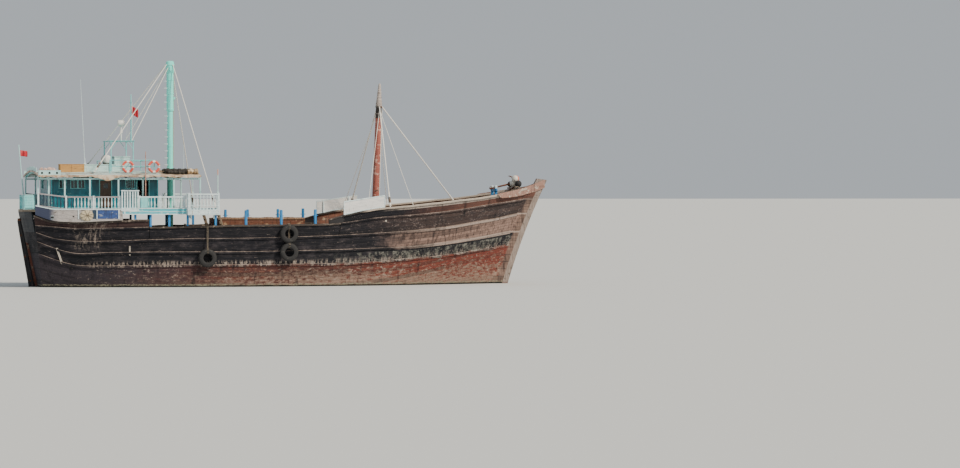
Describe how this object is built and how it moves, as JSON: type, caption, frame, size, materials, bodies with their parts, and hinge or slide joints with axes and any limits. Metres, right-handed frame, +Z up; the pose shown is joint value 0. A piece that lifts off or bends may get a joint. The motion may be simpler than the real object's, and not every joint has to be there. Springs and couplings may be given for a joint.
{
  "type": "wooden cargo dhow",
  "caption": "Wooden cargo dhow with a raised bow, poop deckhouse under an awning roof, balustrades, two masts and tyre fenders.",
  "frame": {"origin": "amidships on the centreline at the waterline", "axes": "+X to the bow, +Y to port, +Z up"},
  "size_m": [32.0216, 8.851, 15.12],
  "materials": {
    "tarred_planking": "weathered tar and old paint on plank",
    "keel_timber": "red oxide antifouling",
    "stem_timber": "weathered bare timber",
    "bare_rail": "worn bare timber",
    "bow_planking": "weathered timber with faded paint",
    "deck_planking": "worn deck plank",
    "white_paint": "chalky white paint on timber",
    "teal_paint": "teal gloss paint on panel",
    "pale_paint": "pale turquoise paint",
    "sky_paint": "sky blue paint",
    "red_oxide": "red oxide paint",
    "mast_paint": "pale turquoise paint on steel tube",
    "salmon_paint": "salmon red paint on spar",
    "canvas": "faded canvas",
    "door_wood": "dark varnish",
    "tyre_rubber": "worn rubber",
    "bronze": "bronze casting",
    "rigging_steel": "galvanised steel",
    "ring_orange": "orange plastic with white bands",
    "flag_red": "red bunting"
  },
  "bodies": {
    "hull": {"hull": "tarred_planking", "keel_and_sternpost": "keel_timber", "stem": "stem_timber", "quarter_bulwark_starboard": "tarred_planking", "quarter_bulwark_port": "tarred_planking", "main_bulwark_starboard": "bare_rail", "main_bulwark_port": "bare_rail", "bow_bulwark_starboard": "bow_planking", "bow_bulwark_port": "bow_planking", "foredeck": "deck_planking", "hatch_coaming": "red_oxide", "hatch_boards": "red_oxide", "poop_deck": "deck_planking", "poop_posts_starboard": "pale_paint", "poop_posts_port": "pale_paint", "poop_side_board_starboard": "white_paint", "poop_side_board_port": "white_paint", "balustrade_starboard": "white_paint", "balustrade_port": "white_paint", "balcony_starboard": "white_paint", "balcony_port": "white_paint", "stern_balustrade": "pale_paint", "deckhouse_wall_starboard": "teal_paint", "deckhouse_wall_port": "teal_paint", "deckhouse_wall_aft": "teal_paint", "deckhouse_wall_front": "teal_paint", "roof": "pale_paint", "roof_frame_starboard": "pale_paint", "roof_frame_port": "pale_paint", "awning": "canvas", "main_mast": "mast_paint", "foremast": "salmon_paint", "transom_board": "sky_paint", "helm_pedestal": "door_wood", "roof_locker": "white_paint", "raft_canister": "white_paint", "signal_frame": "pale_paint", "life_ring_aft": "ring_orange", "life_ring_forward": "ring_orange", "main_stays": "rigging_steel", "fore_stays": "rigging_steel", "nameboard_starboard": "white_paint", "nameboard_port": "white_paint", "fender_aft_starboard": "tyre_rubber", "fender_aft_port": "tyre_rubber", "fender_middle_starboard": "tyre_rubber", "fender_middle_port": "tyre_rubber", "windlass_frame": "rigging_steel", "bow_bitts": "sky_paint", "anchor": "rigging_steel", "stern_box": "pale_paint", "ensign_staff": "white_paint", "ensign": "flag_red", "signal_flag": "flag_red"},
    "rudder": {"rudder": "keel_timber"},
    "propeller": {"propeller": "bronze"},
    "helm_wheel": {"helm_wheel": "door_wood"},
    "windlass_drum": {"windlass_drum": "rigging_steel"},
    "cabin_door_starboard": {"cabin_door_starboard": "door_wood"},
    "cabin_door_port": {"cabin_door_port": "door_wood"}
  },
  "joints": [
    {"name": "rudder_swing", "type": "hinge", "parent": "hull", "child": "rudder", "pos_m": [-15.06, 0, 0], "axis": [-0.2027, 0, 0.9792], "range_deg": [-35, 35]},
    {"name": "propeller_spin", "type": "hinge", "parent": "hull", "child": "propeller", "pos_m": [-13.9, 0, -0.9], "axis": [1, 0, 0], "continuous": true},
    {"name": "helm_turn", "type": "hinge", "parent": "hull", "child": "helm_wheel", "pos_m": [-8.7, 0, 5.48], "axis": [1, 0, 0], "range_deg": [-360, 360]},
    {"name": "windlass_turn", "type": "hinge", "parent": "hull", "child": "windlass_drum", "pos_m": [10.9, 0, 4.91], "axis": [0, 1, 0], "continuous": true},
    {"name": "cabin_door_starboard_swing", "type": "hinge", "parent": "hull", "child": "cabin_door_starboard", "pos_m": [-11.455, -2.26, 5.3], "axis": [0, 0, 1], "range_deg": [-100, 0]},
    {"name": "cabin_door_port_swing", "type": "hinge", "parent": "hull", "child": "cabin_door_port", "pos_m": [-11.455, 2.26, 5.3], "axis": [0, 0, 1], "range_deg": [0, 100]}
  ],
  "couplings": [
    {"joint": "helm_turn", "follows": "rudder_swing", "ratio": -10}
  ]
}
